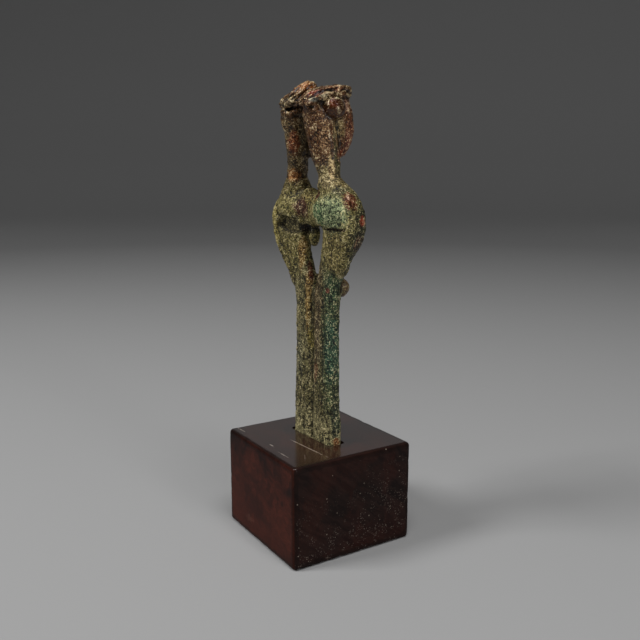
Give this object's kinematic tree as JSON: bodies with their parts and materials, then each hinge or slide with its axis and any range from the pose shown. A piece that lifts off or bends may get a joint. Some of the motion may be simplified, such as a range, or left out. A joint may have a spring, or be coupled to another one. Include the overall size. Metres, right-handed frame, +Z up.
{
  "type": "bronze idol on a wooden block",
  "caption": "Small cast bronze idol with fused legs, wide hips and twin heads on leaning necks, its foot set into a square hardwood block",
  "frame": {"origin": "centre of the block's underside", "axes": "+Z up, +X the way the two heads face, +Y along the idol's broad side"},
  "size_m": [0.0508, 0.0508, 0.1694],
  "materials": {
    "patinated_bronze": "old cast bronze, green and olive patina over reddish brown metal, pitted, worn bare in patches",
    "dark_hardwood": "dark reddish brown hardwood under a glossy clear finish, lightly scratched and dusty"
  },
  "bodies": {
    "root": {"bronze_idol": "patinated_bronze", "wood_block": "dark_hardwood"}
  },
  "joints": []
}
